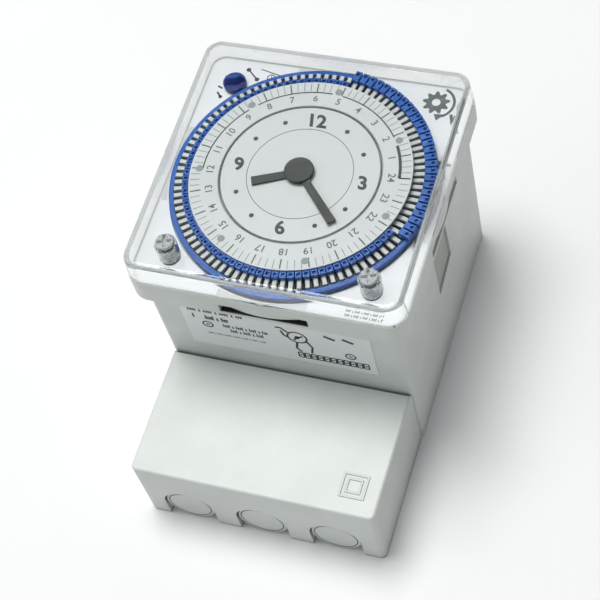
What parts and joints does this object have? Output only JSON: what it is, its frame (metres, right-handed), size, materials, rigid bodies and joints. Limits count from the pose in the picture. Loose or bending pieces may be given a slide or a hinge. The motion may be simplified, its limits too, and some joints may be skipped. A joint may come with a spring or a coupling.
{
  "type": "programmable timer",
  "caption": "Wall-mounted analogue day timer with a ring of push tappets round a clock dial, a clear hinged cover and a terminal compartment with break-out cable entries.",
  "frame": {"origin": "centre of the footprint on the back plane, with the timer lying on its back", "axes": "+Z out of the dial, +Y towards 12 o'clock, away from the terminal cover, +X to the right"},
  "size_m": [0.072, 0.1046, 0.07],
  "materials": {
    "housing": "fine eroded texture",
    "plate": "smooth satin",
    "clear": "clear polished",
    "dial_white": "smooth satin with dark print",
    "blue": "semi-gloss",
    "finger_grey": "satin",
    "hand_grey": "satin",
    "black": "satin",
    "gear_white": "natural acetal",
    "steel": "zinc plated",
    "brass": "bright",
    "frame_plastic": "satin",
    "block_grey": "satin",
    "motor_metal": "drawn can",
    "board": "solder mask",
    "wrap": "shrink sleeve",
    "component": "dipped resin",
    "label": null
  },
  "bodies": {
    "case": {"wall_base": "housing", "terminal_block": "block_grey", "terminal_clamps": "brass", "terminal_screws": "steel", "contact_blades": "brass", "base_screws": "steel", "clock_housing": "housing", "rating_label": "label", "front_plate": "plate", "clock_face": "dial_white", "idler_pins": "steel", "movement_front_frame": "frame_plastic", "movement_rear_frame": "frame_plastic", "movement_pillars": "brass", "movement_screws": "steel", "motor_case": "motor_metal", "motor_support": "frame_plastic", "circuit_board": "board", "board_screws": "steel", "reserve_battery": "wrap", "supply_capacitor": "component", "microswitch_case": "black", "lever_pin": "steel", "selector_switch": "black"},
    "cover": {"clear_cover": "clear"},
    "screw_left": {"cover_screw_left": "clear"},
    "screw_right": {"cover_screw_right": "clear"},
    "terminal_lid": {"terminal_cover": "housing", "cable_knockouts": "housing"},
    "day_disc": {"program_disc": "dial_white", "disc_wheel": "gear_white", "segment_carrier": "black", "carrier_rim": "blue", "segment_comb": "finger_grey", "tappets_on": "blue", "tappets_off": "blue"},
    "hour": {"hour_wheel": "gear_white", "hour_hand": "hand_grey"},
    "minute": {"minute_arbor": "steel", "minute_wheel": "gear_white", "minute_hand": "hand_grey", "hand_cap": "hand_grey"},
    "reduction": {"reduction_wheel": "gear_white"},
    "idler": {"disc_idler": "gear_white"},
    "rotor": {"motor_pinion": "gear_white"},
    "lever": {"switch_lever": "black"},
    "plunger": {"microswitch_plunger": "gear_white"},
    "selector": {"selector_knob": "blue"},
    "tappet_03h30": {"tappet_03h30": "blue"},
    "tappet_03h45": {"tappet_03h45": "blue"},
    "tappet_04h00": {"tappet_04h00": "blue"},
    "tappet_04h15": {"tappet_04h15": "blue"},
    "tappet_04h30": {"tappet_04h30": "blue"},
    "tappet_04h45": {"tappet_04h45": "blue"},
    "tappet_05h00": {"tappet_05h00": "blue"},
    "tappet_05h15": {"tappet_05h15": "blue"},
    "tappet_05h30": {"tappet_05h30": "blue"},
    "tappet_05h45": {"tappet_05h45": "blue"},
    "tappet_06h00": {"tappet_06h00": "blue"},
    "tappet_06h15": {"tappet_06h15": "blue"}
  },
  "joints": [
    {"name": "disc_spin", "type": "hinge", "parent": "case", "child": "day_disc", "pos_m": [0, 0.01625, 0.065], "axis": [0, 0, -1], "continuous": true},
    {"name": "hour_spin", "type": "hinge", "parent": "case", "child": "hour", "pos_m": [0, 0.01625, 0.06], "axis": [0, 0, -1], "continuous": true},
    {"name": "minute_spin", "type": "hinge", "parent": "case", "child": "minute", "pos_m": [0, 0.01625, 0.06], "axis": [0, 0, -1], "continuous": true},
    {"name": "reduction_spin", "type": "hinge", "parent": "case", "child": "reduction", "pos_m": [0.012, 0.01625, 0.043], "axis": [0, 0, -1], "continuous": true},
    {"name": "idler_spin", "type": "hinge", "parent": "case", "child": "idler", "pos_m": [-0.012, 0.01625, 0.049], "axis": [0, 0, -1], "continuous": true},
    {"name": "rotor_spin", "type": "hinge", "parent": "case", "child": "rotor", "pos_m": [0, 0.00425, 0.039], "axis": [0, 0, -1], "continuous": true},
    {"name": "cover_open", "type": "hinge", "parent": "case", "child": "cover", "pos_m": [0, 0.05225, 0.0622], "axis": [-1, 0, 0], "range_deg": [0, 110]},
    {"name": "screw_left_turn", "type": "hinge", "parent": "cover", "child": "screw_left", "pos_m": [-0.0259, -0.01095, 0.066], "axis": [0, 0, 1], "range_deg": [0, 90]},
    {"name": "screw_right_turn", "type": "hinge", "parent": "cover", "child": "screw_right", "pos_m": [0.0259, -0.01095, 0.066], "axis": [0, 0, 1], "range_deg": [0, 90]},
    {"name": "terminal_cover_slide", "type": "slide", "parent": "case", "child": "terminal_lid", "axis": [0, -1, 0], "range_m": [0, 0.036]},
    {"name": "lever_swing", "type": "hinge", "parent": "case", "child": "lever", "pos_m": [0.0285, 0.04075, 0.0584], "axis": [0, 0, 1], "range_deg": [-5, 0]},
    {"name": "plunger_slide", "type": "slide", "parent": "case", "child": "plunger", "axis": [0, 1, 0], "range_m": [0, 0.0009]},
    {"name": "selector_turn", "type": "hinge", "parent": "case", "child": "selector", "pos_m": [-0.0264, 0.04245, 0.063], "axis": [0, 0, 1], "range_deg": [-45, 45]},
    {"name": "tappet_03h30_push", "type": "slide", "parent": "day_disc", "child": "tappet_03h30", "axis": [0.4821, 0.8761, 0], "range_m": [-0.0039, 0]},
    {"name": "tappet_03h45_push", "type": "slide", "parent": "day_disc", "child": "tappet_03h45", "axis": [0.4238, 0.9058, 0], "range_m": [-0.0039, 0]},
    {"name": "tappet_04h00_push", "type": "slide", "parent": "day_disc", "child": "tappet_04h00", "axis": [0.3637, 0.9315, 0], "range_m": [-0.0039, 0]},
    {"name": "tappet_04h15_push", "type": "slide", "parent": "day_disc", "child": "tappet_04h15", "axis": [0.302, 0.9533, 0], "range_m": [-0.0039, 0]},
    {"name": "tappet_04h30_push", "type": "slide", "parent": "day_disc", "child": "tappet_04h30", "axis": [0.239, 0.971, 0], "range_m": [-0.0039, 0]},
    {"name": "tappet_04h45_push", "type": "slide", "parent": "day_disc", "child": "tappet_04h45", "axis": [0.1749, 0.9846, 0], "range_m": [-0.0039, 0]},
    {"name": "tappet_05h00_push", "type": "slide", "parent": "day_disc", "child": "tappet_05h00", "axis": [0.1102, 0.9939, 0], "range_m": [0, 0.0039]},
    {"name": "tappet_05h15_push", "type": "slide", "parent": "day_disc", "child": "tappet_05h15", "axis": [0.0449, 0.999, 0], "range_m": [0, 0.0039]},
    {"name": "tappet_05h30_push", "type": "slide", "parent": "day_disc", "child": "tappet_05h30", "axis": [-0.0205, 0.9998, 0], "range_m": [0, 0.0039]},
    {"name": "tappet_05h45_push", "type": "slide", "parent": "day_disc", "child": "tappet_05h45", "axis": [-0.0859, 0.9963, 0], "range_m": [0, 0.0039]},
    {"name": "tappet_06h00_push", "type": "slide", "parent": "day_disc", "child": "tappet_06h00", "axis": [-0.1508, 0.9886, 0], "range_m": [0, 0.0039]},
    {"name": "tappet_06h15_push", "type": "slide", "parent": "day_disc", "child": "tappet_06h15", "axis": [-0.2152, 0.9766, 0], "range_m": [0, 0.0039]}
  ],
  "couplings": [
    {"joint": "hour_spin", "follows": "disc_spin", "ratio": 2},
    {"joint": "minute_spin", "follows": "disc_spin", "ratio": 24},
    {"joint": "reduction_spin", "follows": "disc_spin", "ratio": -8},
    {"joint": "idler_spin", "follows": "disc_spin", "ratio": -2},
    {"joint": "rotor_spin", "follows": "disc_spin", "ratio": -96},
    {"joint": "plunger_slide", "follows": "lever_swing", "m_per_rad": -0.01}
  ]
}
